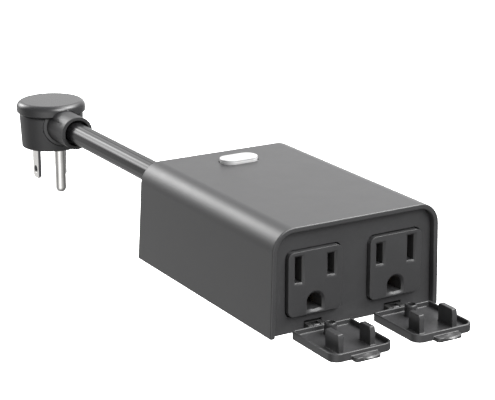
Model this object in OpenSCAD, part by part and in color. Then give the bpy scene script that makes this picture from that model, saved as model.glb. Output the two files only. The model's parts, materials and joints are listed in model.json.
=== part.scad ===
// Outdoor plug-in switch box: a mains plug on a short thick lead, a drafted housing with
// one push button on top, and two switched outlets behind flip-down covers.
// Every module draws one sub-part. The origin is the centre of the plug's contact face,
// the prongs point down (-Z) and the housing lies along -Y with its outlets at the far end.

/* [Housing] */
// Width across the bottom
body_w = 67.6; // [60:0.1:90]
// Length from the front rim to the foot of the rear wall
body_l = 95; // [94:0.1:130]
// Height
body_h = 37.2; // [36:0.1:50]
// Radius of the two long top corners
corner_r = 8; // [5:0.1:12]
// How far each side leans in by the top
side_lean = 0.86; // [0:0.01:2]
// How far the rear wall leans forward by the top
rear_lean = 2.1; // [0:0.1:4]
// Wall where the panel and the base sit in it
rim_wall = 1.9; // [1.6:0.1:3]
// Step behind the rim that the panel and the base close on
ledge = 0.9; // [0.6:0.1:1.5]
// Thickness of the base plate
base_t = 2.2; // [1.8:0.1:3]
// Height of the plug's contact face above the housing's bottom
face_lift = 3.8; // [0:0.1:8]

/* [Front panel and outlets] */
// Depth of the panel's face behind the front rim
panel_recess = 2.2; // [1.5:0.1:4]
// Thickness of the panel
panel_t = 2.4; // [2:0.1:3]
// Distance of each outlet from the centre
outlet_x = 16.1; // [15:0.1:20]
// Height of the blade slots above the bottom
slot_z = 22; // [21:0.1:28]
// Width of the raised outlet face
pad_w = 21; // [20:0.1:24]
// Height of the raised outlet face
pad_h = 22.4; // [21.5:0.1:24]
// Corner radius of the raised outlet face
pad_r = 2.3; // [1:0.1:4]
// How far the outlet face stands out of the panel
pad_proud = 1.5; // [0.8:0.1:1.8]
// Groove round the outlet face
pad_gap = 0.4; // [0.2:0.05:0.8]
// Width of a blade slot
slot_w = 2.6; // [2.4:0.1:3]
// Length of the neutral slot
long_slot = 9; // [8.8:0.1:9.6]
// Length of the live slot
short_slot = 7.4; // [7.2:0.1:7.8]
// Radius of the earth hole's arch
earth_r = 2.9; // [2.8:0.05:3.2]
// Lead-in chamfer round every slot
lead_in = 0.75; // [0.4:0.05:0.8]

/* [Covers] */
// Thickness of a cover over its rim
cover_t = 2.9; // [2.6:0.1:3.2]
// Floor of the tray
cover_floor = 1.2; // [1:0.1:1.6]
// Width of the tray's rim
cover_rim = 0.9; // [0.7:0.1:1.4]
// Gap between the rim and the outlet face when shut
cover_gap = 0.4; // [0.3:0.05:0.8]
// Underside of an open cover above the housing's bottom
cover_lift = 0.5; // [0.3:0.1:1]
// Height of the hinge pin above the housing's bottom
hinge_z = 1.5; // [1.4:0.05:1.7]
// Length of the blade-shaped stoppers
stopper_h = 6.3; // [4:0.1:6.6]
// Thickness of the blade-shaped stoppers
stopper_t = 2.1; // [1.6:0.1:2.2]
// Outer radius of the round stopper
round_stopper_r = 2.1; // [1.6:0.05:2.1]
// How far the finger tab stands out of the free edge
tab_out = 2.8; // [2:0.1:4]
// Width of the finger tab
tab_w = 10; // [6:0.1:14]
// Thickness of the finger tab
tab_t = 1.5; // [1.2:0.1:2]

/* [Button] */
// Length of the button across the housing
button_l = 15; // [12:0.1:18]
// Width of the button along the housing
button_w = 8.1; // [6:0.1:9]
// How far the button stands out of the top
button_proud = 1.6; // [0.8:0.1:2.5]
// Distance of the button's centre from the front rim
button_y = 78.4; // [60:0.1:80]
// Travel of the button
button_travel = 0.5; // [0.3:0.1:0.6]
// Gap round the button
button_gap = 0.25; // [0.15:0.05:0.5]

/* [Plug] */
// Radius of the plug's cap
cap_r = 15.65; // [15:0.05:20]
// Radius of the plug's body under the cap
plug_r = 14.5; // [13.5:0.1:14.8]
// Radius of the plug's body at its face
plug_face_r = 13.8; // [13:0.1:14]
// Height of the plug's body up to the seam with the cap
plug_h = 15.2; // [14:0.1:16]
// Height of the cap over the seam
cap_h = 5.8; // [5:0.1:8]
// Rounding of the cap's top edge
cap_edge = 2.7; // [1:0.1:2.8]
// Outer radius of the cord boss
boss_r = 7.4; // [7:0.1:7.6]
// Reach of the cord boss from the plug's centre
boss_reach = 28.2; // [22:0.1:36]
// Distance between the blades
blade_pitch = 12.7; // [12.7]
// Distance from the blades' line to the earth pin
earth_drop = 11.9; // [11.9]
// Blades' line in front of the plug's centre
blade_y = 3.7; // [3:0.1:4.5]
// Width of a blade
blade_w = 6.35; // [6.35]
// Thickness of a blade
blade_t = 1.5; // [1.5]
// Length of the blades below the face
blade_l = 15.9; // [15.9:0.1:18.2]
// Radius of the earth pin
pin_r = 2.4; // [2.4]
// Length of the earth pin below the face
pin_l = 20.8; // [20:0.1:21.5]

/* [Lead] */
// Diameter of the lead
cord_d = 9.4; // [8:0.1:9.8]
// Height of the lead's centre above the plug's face
cord_z = 11.4; // [10:0.1:12]
// Distance from the plug's centre to the foot of the rear wall
plug_gap = 153.6; // [153.6]
// Length of the tapered strain relief outside the housing
relief_l = 26; // [20:0.5:40]

/* [Hidden] */
$fn = 64;
eps = 0.01;
// Clearance between pieces that are pushed together
fit = 0.1;
// How far a cutting shape runs past what it cuts
past = 1;
front_y = -(plug_gap + body_l);
draft = side_lean / body_h;
// From the blade slots' middle down to the pad's lower edge
pad_foot = 16.05;
// Covers
hinge_y = panel_recess - (cover_lift + cover_t - hinge_z) - 0.15;
pad_z = slot_z - pad_foot + pad_h / 2;
cover_w = pad_w + 2 * (cover_gap + cover_rim);
cover_h = pad_h + 2 * (cover_gap + cover_rim);
cover_near = pad_z - cover_h / 2 - hinge_z;
floor_z = cover_lift + cover_floor;
knuckle_r = 0.95;
hinge_pin_r = 0.5;
hinge_w = 6.6;
knuckle_w = 2.6;
notch_w = hinge_w + 0.3;
notch_h = 3.3;
earth_z = slot_z - earth_drop;
blade_x = blade_pitch / 2;
// Receptacle blocks behind the panel
block_w = 23.4;
block_low = 4;
block_high = 31;
block_back = 26.5;
pocket_y = 8.2;
pocket_w = 6.4;
pocket_h = 12;
earth_pocket_r = 4.4;
panel_back = panel_recess + panel_t;
seal_t = 0.8;
// Boards
board_z = 6;
board_t = 1.6;
board_w = 48;
board_y = 31;
board_end = body_l - 9;
board_top = board_z + board_t;
control_z = body_h - 8.2;
control_top = control_z + board_t;
control_w = 30;
control_y = 56;
control_end = 88;
post_x = 27.4;
post_ys = [31, 88];
post_r = 2.9;
standoff_x = 21;
standoff_ys = [35, board_end - 4];
screw_r = 1.5;
// The lead's route, from inside the plug to inside the housing
cord_r = cord_d / 2;
cord_ys = [-12, -20, -30, -40, -50, -60, -70, -80, -90, -100, -110, -120, -130, -140, -150, -160, -166];
cord_route = [for (y = cord_ys) [0, y, cord_z]];
cord_hole_r = cord_r + 0.05;
relief_z = cord_z + face_lift;
relief_neck_r = 6.6;

// Places a piece of the housing, drawn with its front rim at y = 0 and its bottom at z = 0
module housed() {
    translate([0, front_y, -face_lift]) children();
}

// Outline of the housing across X and Z, drawn in from the outside by a wall
module arch(inset, low = 0) {
    half = body_w / 2 - inset;
    top = body_h - inset;
    r = max(corner_r - inset, 1);
    round_x = half - r - draft * (top - r);
    union() {
        polygon([[-half, low], [half, low], [half - draft * (top - r), top - r],
            [-half + draft * (top - r), top - r]]);
        for (side = [-1, 1]) translate([side * round_x, top - r]) circle(r);
        translate([-round_x, top - 2 * r]) square([2 * round_x, 2 * r]);
    }
}

// The arch as a solid from one Y to another
module arch_block(inset, from, to, low = 0) {
    translate([0, to, 0]) rotate([90, 0, 0]) linear_extrude(to - from) arch(inset, low);
}

// Everything in front of the leaning rear wall, drawn in by a wall
module rear_limit(inset) {
    wide = body_w + 10;
    lean = rear_lean / body_h;
    translate([-wide / 2, 0, 0]) rotate([90, 0, 90]) linear_extrude(wide)
        polygon([[-past, -past], [body_l - inset + lean * past, -past],
            [body_l - inset - lean * (body_h + past), body_h + past], [-past, body_h + past]]);
}

// Rectangle with round corners, centred, standing up across X and Z from one Y to another
module round_plate(w, h, r, from, to) {
    translate([0, to, 0]) rotate([90, 0, 0]) linear_extrude(to - from) round_rect(w, h, r);
}

module round_rect(w, h, r) {
    union() {
        square([w - 2 * r, h], center = true);
        square([w, h - 2 * r], center = true);
        for (x = [-1, 1], z = [-1, 1]) translate([x * (w / 2 - r), z * (h / 2 - r)]) circle(r);
    }
}

// Stadium outline with its long axis along X
module stadium(l, w) {
    union() {
        square([l - w, w], center = true);
        for (x = [-1, 1]) translate([x * (l - w) / 2, 0]) circle(w / 2);
    }
}

// Screw that points up, with its head below z = 0
module pan_screw(head_r, head_h, shank_r, shank_l) {
    translate([0, 0, -head_h]) difference() {
        cylinder(r = head_r, h = head_h);
        for (turn = [0, 90]) rotate([0, 0, turn])
            translate([-head_r * 0.6, -0.3, -past]) cube([head_r * 1.2, 0.6, past + head_h * 0.5]);
    }
    translate([0, 0, -eps]) cylinder(r = shank_r, h = shank_l + eps);
}

// Round wire along a list of points
module wire(points, r) {
    for (i = [0 : len(points) - 2]) {
        step = points[i + 1] - points[i];
        long = norm(step);
        translate(points[i]) rotate([0, acos(step[2] / long), atan2(step[1], step[0])])
            cylinder(r = r, h = long);
    }
    for (i = [1 : len(points) - 2]) translate(points[i]) sphere(r);
}

// ---- Housing ----

module shell_posts() {
    for (x = [-post_x, post_x], y = post_ys)
        translate([x, y, base_t]) cylinder(r = post_r, h = body_h);
}

module outer_shell() {
    housed() color([0.3, 0.3, 0.3]) difference() {
        intersection() {
            union() {
                arch_block(0, 0, body_l);
                translate([0, body_l, relief_z]) rotate([90, 0, 0]) cylinder(r = 10, h = 6);
            }
            union() {
                rear_limit(0);
                translate([0, body_l, relief_z]) rotate([90, 0, 0]) cylinder(r = 10, h = 6);
            }
        }
        difference() {
            intersection() {
                arch_block(rim_wall + ledge, panel_back + seal_t, body_l, -past);
                rear_limit(rim_wall + ledge);
            }
            shell_posts();
        }
        // Rebates for the front panel with its seal, and for the base plate with its seal
        arch_block(rim_wall, -past, panel_back + seal_t + eps, -past);
        intersection() {
            arch_block(rim_wall, -past, body_l, -past);
            rear_limit(rim_wall);
            translate([-body_w, -past, -past]) cube([2 * body_w, 2 * body_l, base_t + seal_t + past]);
        }
        // Pilot holes in the posts
        for (x = [-post_x, post_x], y = post_ys)
            translate([x, y, -past]) cylinder(r = screw_r - fit, h = 14 + past);
        // Button opening and the lead's opening
        translate([0, button_y, body_h - 8]) linear_extrude(10)
            stadium(button_l + 2 * button_gap, button_w + 2 * button_gap);
        translate([0, body_l + past, relief_z]) rotate([90, 0, 0])
            cylinder(r = relief_neck_r + fit / 2, h = 12);
    }
}

module base_plate() {
    plate_w = body_w - 2 * rim_wall - 2 * fit;
    plate_end = body_l - rim_wall - 2 * fit - base_t * rear_lean / body_h;
    start = panel_back + fit;
    housed() color([0.25, 0.25, 0.25]) difference() {
        union() {
            translate([-plate_w / 2, start, 0]) cube([plate_w, plate_end - start, base_t]);
            for (x = [-standoff_x, standoff_x], y = standoff_ys)
                translate([x, y, base_t - eps]) cylinder(r = 2.5, h = board_z - base_t + eps);
        }
        for (x = [-post_x, post_x], y = post_ys) translate([x, y, -past]) {
            cylinder(r = screw_r + 0.15, h = base_t + 2 * past);
            cylinder(r = 3.1, h = past + 1.3);
        }
        for (x = [-standoff_x, standoff_x], y = standoff_ys)
            translate([x, y, base_t]) cylinder(r = 1, h = board_z);
    }
}

module base_screws() {
    housed() color([0.6, 0.6, 0.62])
        for (x = [-post_x, post_x], y = post_ys)
            translate([x, y, 1.3]) pan_screw(2.8, 1.1, screw_r - fit, 9);
}

// Flat U-shaped seal between the base plate and the shell's ledge
module base_seal() {
    low = base_t + fit / 2;
    housed() color([0.12, 0.12, 0.12]) difference() {
        intersection() {
            arch_block(rim_wall + fit, panel_back + seal_t + fit, body_l, -past);
            rear_limit(rim_wall + fit);
            translate([-body_w, 0, low]) cube([2 * body_w, 2 * body_l, seal_t - fit]);
        }
        intersection() {
            arch_block(rim_wall + ledge + fit, -past, body_l, -past);
            rear_limit(rim_wall + ledge + fit);
        }
        for (x = [-post_x, post_x], y = post_ys)
            translate([x, y, 0]) cylinder(r = post_r + fit, h = 10);
    }
}

module front_panel() {
    housed() color([0.28, 0.28, 0.28]) difference() {
        arch_block(rim_wall + fit, panel_recess, panel_back);
        for (side = [-1, 1]) {
            translate([side * outlet_x, 0, pad_z])
                round_plate(pad_w + 2 * pad_gap, pad_h + 2 * pad_gap, pad_r + pad_gap, 0, panel_back + past);
            translate([side * outlet_x - notch_w / 2, 0, -past])
                cube([notch_w, panel_back + past, notch_h + past]);
        }
    }
}

// Flat arch-shaped seal between the panel and the shell's ledge
module panel_seal() {
    from = panel_back + fit / 2;
    to = panel_back + seal_t - fit / 2;
    housed() color([0.12, 0.12, 0.12]) difference() {
        arch_block(rim_wall + fit, from, to, base_t + seal_t + fit);
        arch_block(rim_wall + ledge + fit, from - past, to + past, -past);
    }
}

// ---- Outlets ----

// Mouth of a rectangular slot: a mitred lead-in that narrows by its own depth
module slot_mouth(w, low, high) {
    face = panel_recess - pad_proud;
    intersection() {
        translate([0, 0, low - lead_in]) linear_extrude(high - low + 2 * lead_in)
            polygon([[-w / 2 - lead_in - eps, face - eps], [w / 2 + lead_in + eps, face - eps],
                [w / 2, face + lead_in], [-w / 2, face + lead_in]]);
        translate([-w, 0, 0]) rotate([90, 0, 90]) linear_extrude(2 * w)
            polygon([[face - eps, low - lead_in - eps], [face - eps, high + lead_in + eps],
                [face + lead_in, high], [face + lead_in, low]]);
    }
}

module blade_slot(x, long) {
    translate([x, 0, slot_z]) {
        slot_mouth(slot_w, -long / 2, long / 2);
        translate([-slot_w / 2, 0, -long / 2]) cube([slot_w, pocket_y + past, long]);
    }
    translate([x - pocket_w / 2, pocket_y, slot_z - pocket_h / 2]) cube([pocket_w, block_back, pocket_h]);
}

// Arched earth hole with a flat foot
module earth_hole() {
    face = panel_recess - pad_proud;
    foot = 2.75;
    translate([0, 0, earth_z]) {
        translate([0, face - eps, 0]) rotate([-90, 0, 0])
            cylinder(r1 = earth_r + lead_in + eps, r2 = earth_r, h = lead_in + eps);
        slot_mouth_foot(foot);
        rotate([-90, 0, 0]) cylinder(r = earth_r, h = pocket_y + past);
        translate([-earth_r, 0, -foot]) cube([2 * earth_r, pocket_y + past, foot]);
        translate([0, pocket_y, 0]) rotate([-90, 0, 0]) cylinder(r = earth_pocket_r, h = block_back);
    }
}

// Lower half of the earth hole's mouth, cut off level with the arch's centre
module slot_mouth_foot(foot) {
    intersection() {
        slot_mouth(2 * earth_r, -foot, foot);
        translate([-2 * earth_r, -past, -2 * earth_r]) cube([4 * earth_r, pocket_y, 2 * earth_r]);
    }
}

// Insulating outlet block; its neutral slot is on the outer side
module receptacle(side) {
    face = panel_recess - pad_proud;
    housed() translate([side * outlet_x, 0, 0]) color([0.27, 0.27, 0.27]) difference() {
        union() {
            translate([0, 0, pad_z]) round_plate(pad_w, pad_h, pad_r, face, panel_back + past);
            translate([-block_w / 2, panel_back + fit / 2, block_low])
                cube([block_w, block_back - panel_back, block_high - block_low]);
        }
        blade_slot(side * blade_x, long_slot);
        blade_slot(-side * blade_x, short_slot);
        earth_hole();
    }
}

module receptacle_left() { receptacle(-1); }

module receptacle_right() { receptacle(1); }

clip_front = 9.2;
clip_back = 22;
clip_gap = 1.7;
clip_t = 0.8;
clip_h = 9;
neutral_bar_y = block_back + 0.2;
earth_bar_y = 28.6;

// Two brass leaves that grip a blade, with a web behind them
module blade_clip(x) {
    translate([x, 0, slot_z]) {
        for (s = [-1, 1]) translate([s * (clip_gap + clip_t) / 2 - clip_t / 2, clip_front, -clip_h / 2])
            cube([clip_t, clip_back - clip_front, clip_h]);
        translate([-clip_gap / 2 - clip_t, clip_back - clip_t, -clip_h / 2])
            cube([clip_gap + 2 * clip_t, clip_t, clip_h]);
    }
}

module live_contact(side) {
    x = side * (outlet_x - blade_x);
    foot_y = board_y + 3;
    housed() color([0.8, 0.62, 0.3]) {
        blade_clip(x);
        translate([x - 1, clip_back - eps, slot_z - 3]) cube([2, neutral_bar_y - clip_back + 1, 3]);
        translate([x - 1, neutral_bar_y, board_top]) cube([2, 1, slot_z - board_top]);
        translate([x - 1, neutral_bar_y, board_top]) cube([2, foot_y - neutral_bar_y, 1]);
    }
}

module live_contact_left() { live_contact(-1); }

module live_contact_right() { live_contact(1); }

module neutral_bus() {
    x = outlet_x + blade_x;
    housed() color([0.82, 0.66, 0.36]) {
        for (side = [-1, 1]) {
            blade_clip(side * x);
            translate([side * x - 1, clip_back - eps, slot_z + 1])
                cube([2, neutral_bar_y - clip_back + 1, 3]);
        }
        translate([-x - 1, neutral_bar_y, slot_z + 1]) cube([2 * x + 2, 1, 4]);
    }
}

module earth_bus() {
    tube_r = 3.4;
    bar_h = 3;
    housed() color([0.78, 0.64, 0.34]) {
        for (side = [-1, 1]) translate([side * outlet_x, clip_front, earth_z]) rotate([-90, 0, 0]) {
            difference() {
                cylinder(r = tube_r, h = clip_back - clip_front);
                translate([0, 0, -past]) cylinder(r = pin_r + 0.05, h = clip_back - clip_front - 1);
            }
            translate([0, 0, clip_back - clip_front - eps])
                cylinder(r = 1.4, h = earth_bar_y - clip_back + 2 * eps);
        }
        translate([-outlet_x - 2, earth_bar_y, earth_z - bar_h / 2]) cube([2 * outlet_x + 4, 1, bar_h]);
    }
}

// ---- Covers and hinges ----

module hinge_cylinder(from, to, r) {
    translate([from, hinge_y, hinge_z]) rotate([0, 90, 0]) cylinder(r = r, h = to - from);
}

// Block held behind the panel, with two ears that reach out through the notch
module hinge_bracket(side) {
    arm_top = hinge_z + knuckle_r;
    arm_low = cover_lift + 0.1;
    ear_w = (hinge_w - knuckle_w) / 2 - 0.15;
    housed() translate([side * outlet_x, 0, 0]) color([0.2, 0.2, 0.2]) difference() {
        union() {
            translate([-5, panel_back + fit, base_t + fit]) cube([10, 5, block_low - base_t - 2 * fit]);
            translate([-hinge_w / 2, hinge_y + 2, base_t + fit])
                cube([hinge_w, panel_back + 1 - hinge_y, arm_top - base_t]);
            for (s = [-1, 1]) {
                from = s < 0 ? -hinge_w / 2 : hinge_w / 2 - ear_w;
                hinge_cylinder(from, from + ear_w, knuckle_r);
                translate([from, hinge_y, arm_low + 0.5])
                    cube([ear_w, 2.2, arm_top - arm_low - 0.5]);
            }
        }
        hinge_cylinder(-hinge_w, hinge_w, hinge_pin_r);
    }
}

module hinge_bracket_left() { hinge_bracket(-1); }

module hinge_bracket_right() { hinge_bracket(1); }

module hinge_pin(side) {
    housed() translate([side * outlet_x, 0, 0]) color([0.7, 0.7, 0.72])
        hinge_cylinder(-hinge_w / 2, hinge_w / 2, hinge_pin_r);
}

module hinge_pin_left() { hinge_pin(-1); }

module hinge_pin_right() { hinge_pin(1); }

// Blade-shaped stopper with a bevelled tip, so that it can swing into its slot
module blade_stopper(x, slot) {
    long = slot - 1.2;
    near = hinge_y - (slot_z - hinge_z) + long / 2;
    bevel = 0.5;
    slope = 1.5;
    top = floor_z + stopper_h;
    translate([x - stopper_t / 2, 0, 0]) rotate([90, 0, 90]) linear_extrude(stopper_t)
        polygon([[near, floor_z - eps], [near, top - 0.4], [near - 0.4, top],
            [near - long + bevel, top], [near - long, top - slope], [near - long, floor_z - eps]]);
}

// Hollow round stopper for the earth hole
module round_stopper() {
    high = 4.3;
    tip = 0.4;
    stopper_wall = 0.65;
    translate([0, hinge_y - (earth_z - hinge_z), floor_z - eps]) difference() {
        union() {
            cylinder(r = round_stopper_r, h = high - tip);
            translate([0, 0, high - tip]) cylinder(r1 = round_stopper_r, r2 = round_stopper_r - 0.3, h = tip);
        }
        translate([0, 0, 0.8]) cylinder(r = round_stopper_r - stopper_wall, h = high);
    }
}

// Outline of the tray seen from above, drawn in by a wall: small corners at the hinge, big ones in front
module tray_outline(inset) {
    near = hinge_y - cover_near - inset;
    far = hinge_y - cover_near - cover_h + inset;
    half = cover_w / 2 - inset;
    small = max(1.2 - inset, 0.3);
    big = 3.4 - inset;
    union() {
        translate([-half, far + big]) square([2 * half, near - far - big - small]);
        translate([-half + small, near - small - eps]) square([2 * (half - small), small + eps]);
        translate([-half + big, far]) square([2 * (half - big), big + eps]);
        for (s = [-1, 1]) {
            translate([s * (half - small), near - small]) circle(small);
            translate([s * (half - big), far + big]) circle(big);
        }
    }
}

// Finger tab on the free edge, with round outer corners and a shallow thumb scoop
module finger_tab() {
    root = hinge_y - cover_near - cover_h + 0.5;
    far = root - 0.5 - tab_out;
    round_r = 1.3;
    scoop_r = 8.4;
    scoop_depth = 0.65;
    difference() {
        translate([0, 0, cover_lift]) linear_extrude(tab_t) union() {
            translate([-tab_w / 2, far + round_r]) square([tab_w, root - far - round_r]);
            translate([round_r - tab_w / 2, far]) square([tab_w - 2 * round_r, 2 * round_r]);
            for (s = [-1, 1]) translate([s * (tab_w / 2 - round_r), far + round_r]) circle(round_r);
        }
        translate([0.6, far - 0.5, cover_lift + tab_t - scoop_depth + scoop_r]) sphere(scoop_r);
    }
}

module cover(side) {
    near = hinge_y - cover_near;
    arm_w = knuckle_w;
    housed() translate([side * outlet_x, 0, 0]) color([0.29, 0.29, 0.29]) difference() {
        union() {
            difference() {
                translate([0, 0, cover_lift]) linear_extrude(cover_t) tray_outline(0);
                translate([0, 0, floor_z]) linear_extrude(cover_t) tray_outline(cover_rim);
            }
            blade_stopper(side * blade_x, long_slot);
            blade_stopper(-side * blade_x, short_slot);
            round_stopper();
            finger_tab();
            translate([-arm_w / 2, near - 0.5, cover_lift])
                cube([arm_w, hinge_y - near + 0.5, hinge_z - cover_lift]);
            hinge_cylinder(-arm_w / 2, arm_w / 2, knuckle_r);
        }
        hinge_cylinder(-arm_w, arm_w, hinge_pin_r + 0.05);
    }
}

module cover_left() { cover(-1); }

module cover_right() { cover(1); }

// ---- Button and controls ----

boot_t = 0.8;
switch_h = 0.75;
// How far the switch itself gives way at the end of the button's travel
switch_press = 0.2;
button_z = control_top + switch_h + button_travel - switch_press + boot_t + fit / 2;

// White cap with a stem that reaches down to the boot
module button() {
    flange_t = 1.2;
    housed() translate([0, button_y, button_z]) color([0.96, 0.96, 0.96]) {
        linear_extrude(body_h + button_proud - button_z) stadium(button_l, button_w);
        linear_extrude(flange_t) stadium(button_l + 2.4, button_w + 2.4);
    }
}

// Clear ring that carries the light up round the button's flange
module light_ring() {
    low = control_top + 0.3;
    high = body_h - rim_wall - ledge - 0.1;
    housed() translate([0, button_y, low]) color([0.9, 0.95, 1]) difference() {
        linear_extrude(high - low) stadium(button_l + 5.4, button_w + 5.4);
        translate([0, 0, -past]) linear_extrude(20) stadium(button_l + 3.2, button_w + 3.2);
    }
}

// Soft sheet between the button and the switch
module button_boot() {
    low = control_top + fit / 2;
    high = button_z - fit / 2;
    housed() translate([0, button_y, 0]) color([0.15, 0.15, 0.15]) difference() {
        translate([0, 0, low]) linear_extrude(high - low) stadium(button_l + 2.8, button_w + 2.8);
        translate([0, 0, low - past]) linear_extrude(high - low - boot_t + past)
            stadium(button_l + 1.2, button_w + 1.2);
    }
}

module tact_switch() {
    housed() translate([0, button_y, control_top]) color([0.2, 0.2, 0.2]) {
        translate([-2.25, -2.25, 0]) cube([4.5, 4.5, 0.5]);
        cylinder(r = 1.2, h = switch_h);
    }
}

module status_led() {
    housed() translate([button_l / 2 - 2.6, button_y, control_top]) color([0.9, 0.9, 0.7])
        translate([-0.8, -0.4, 0]) cube([1.6, 0.8, 0.5]);
}

module control_board() {
    housed() color([0.1, 0.4, 0.2])
        translate([-control_w / 2, control_y, control_z]) cube([control_w, control_end - control_y, board_t]);
}

module radio_module() {
    housed() translate([-9, control_y + 1, control_top]) color([0.7, 0.7, 0.72]) {
        cube([18, 12, 0.8]);
        translate([1, 1, 0.8 - eps]) cube([12, 10, 2.2]);
    }
}

// Row of square pins between the two boards
module board_header() {
    pins = 6;
    pitch = 2.54;
    pin_w = 0.64;
    housed() translate([-13, control_y + 10, 0]) color([0.75, 0.7, 0.4]) {
        for (i = [0 : pins - 1]) translate([-pin_w / 2, i * pitch - pin_w / 2, board_top])
            cube([pin_w, pin_w, control_z - board_top]);
        translate([-pitch / 2, -pitch / 2, board_top + 6]) cube([pitch, pins * pitch, 2.5]);
    }
}

module power_board() {
    housed() color([0.1, 0.38, 0.2]) difference() {
        translate([-board_w / 2, board_y, board_z]) cube([board_w, board_end - board_y, board_t]);
        for (x = [-standoff_x, standoff_x], y = standoff_ys)
            translate([x, y, 0]) cylinder(r = 1.4, h = 20);
    }
}

module board_screws() {
    housed() color([0.65, 0.65, 0.67])
        for (x = [-standoff_x, standoff_x], y = standoff_ys)
            translate([x, y, board_top]) mirror([0, 0, 1]) pan_screw(2.1, 1.3, 0.95, 4.6);
}

// Open-frame switching relay with its rounded lid
module relay(x) {
    housed() translate([x, 49, board_top]) color([0.16, 0.3, 0.55]) {
        translate([0, 0, 7.6]) rotate([90, 0, 0]) translate([0, 0, -9.5])
            linear_extrude(19) round_rect(15.4, 15.2, 0.8);
        translate([-6.6, -8.6, 15.2 - eps]) cube([13.2, 17.2, 0.4]);
    }
}

module relay_left() { relay(-12.4); }

module relay_right() { relay(12.4); }

// Small mains transformer: ferrite halves round a taped bobbin
module transformer() {
    housed() translate([14, 69, board_top]) {
        color([0.15, 0.15, 0.15]) difference() {
            translate([-7, -6.5, 0]) cube([14, 13, 13]);
            for (s = [-1, 1]) translate([s * 5.6 - 1, -7, 2.5]) cube([2, 14, 8]);
        }
        color([0.95, 0.8, 0.2]) translate([-4.5, -8, 2.5]) cube([9, 16, 8]);
    }
}

module storage_capacitor() {
    housed() translate([-3, 67, board_top]) color([0.1, 0.15, 0.35]) difference() {
        cylinder(r = 4, h = 12.5);
        translate([0, 0, 1.6]) rotate_extrude() translate([4.1, 0]) circle(0.35, $fn = 24);
    }
}

module line_capacitor() {
    housed() translate([-22.5, 60.5, board_top]) color([0.85, 0.75, 0.15])
        translate([0, 8.5, 5.5]) rotate([90, 0, 90]) linear_extrude(6.5) round_rect(16.5, 11, 0.8);
}

module varistor() {
    housed() translate([-9.5, 60.5, board_top]) color([0.15, 0.3, 0.6]) {
        translate([0, 0, 6.2]) rotate([90, 0, 0]) cylinder(r = 4.6, h = 3.6, center = true);
        for (s = [-1, 1]) translate([s * 2.5, 0, 0]) cylinder(r = 0.4, h = 3);
    }
}

module fuse() {
    housed() translate([12, board_end - 5, board_top + 2.7]) color([0.75, 0.75, 0.75]) {
        rotate([0, 90, 0]) cylinder(r = 2.4, h = 9, center = true);
        for (s = [-1, 1]) translate([s * 4.9, 0, 0]) {
            rotate([0, 90, 0]) cylinder(r = 2.6, h = 1, center = true);
            translate([0, 0, -2.7]) cylinder(r = 0.5, h = 2.7);
        }
    }
}

// ---- Leads inside the housing ----

lead_r = 1.35;
lead_start = body_l + plug_gap + cord_ys[len(cord_ys) - 1] - fit;
lead_drop = body_l + plug_gap + cord_ys[len(cord_ys) - 1] - 5;

module live_lead() {
    housed() color([0.1, 0.1, 0.1])
        wire([[-2.4, lead_start, relief_z - 1.4], [-2.4, lead_drop, relief_z - 1.4],
            [-2.4, lead_drop, board_top]], lead_r);
}

module neutral_lead() {
    housed() color([0.9, 0.9, 0.9])
        wire([[2.4, lead_start, relief_z - 1.4], [2.4, lead_drop, relief_z - 1.4],
            [2.4, lead_drop, board_top]], lead_r);
}

// The earth wire runs over the relays to the bar behind the outlets
module earth_lead() {
    over = board_top + 18.3;
    housed() color([0.15, 0.5, 0.2])
        wire([[0, lead_start, relief_z + 2.5], [0, lead_drop, relief_z + 2.5],
            [0, lead_drop, over], [0, earth_bar_y + 4, over],
            [0, earth_bar_y + 4, earth_z], [0, earth_bar_y + 1, earth_z]], lead_r);
}

// ---- Lead and plug ----

// Tapered sleeve with a groove that holds it in the rear wall
module strain_relief() {
    flange_t = 2.2;
    inner = 2;
    wall = rim_wall + ledge;
    housed() translate([0, body_l, relief_z]) rotate([-90, 0, 0]) color([0.14, 0.14, 0.14]) difference() {
        union() {
            translate([0, 0, fit / 2]) cylinder(r = 8.4, h = flange_t);
            translate([0, 0, flange_t]) cylinder(r1 = 7.3, r2 = 5.9, h = relief_l - flange_t);
            translate([0, 0, -wall - 3.2]) cylinder(r = relief_neck_r, h = wall + 4);
            translate([0, 0, -wall - 3.2 - inner]) cylinder(r = 8, h = inner);
        }
        translate([0, 0, -20]) cylinder(r = cord_hole_r, h = relief_l + 40);
    }
}

// Tube with flat sides along the route's points, which all lie on one straight line
module cord() {
    sides = 12;
    rings = len(cord_route);
    points = [for (p = cord_route, i = [0 : sides - 1])
        p + cord_r * [cos(360 * i / sides), 0, sin(360 * i / sides)]];
    walls = [for (k = [0 : rings - 2], i = [0 : sides - 1]) let (j = (i + 1) % sides)
        [k * sides + i, k * sides + j, (k + 1) * sides + j, (k + 1) * sides + i]];
    near = [for (i = [0 : sides - 1]) sides - 1 - i];
    far = [for (i = [0 : sides - 1]) (rings - 1) * sides + i];
    color([0.2, 0.2, 0.2]) polyhedron(points, concat([near], walls, [far]));
}

cavity_r = 11.4;
carrier_z = 2.6;
carrier_h = 4.2;
collar_r = boss_r + 1.6;
// Bevel round the body's top edge, the radius it ends on, and the height of the cap's undercut
body_bevel = 1.1;
seam_r = plug_r - 0.4;
undercut_h = 1;
// The earth pin has a thinner tail from just below the plug's face upwards
pin_tail_r = pin_r - 0.5;
pin_tail_low = -0.3;
lip_t = 1.8;

module along_cord(from, to, r) {
    translate([0, from, cord_z]) rotate([90, 0, 0]) cylinder(r = r, h = from - to);
}

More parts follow.
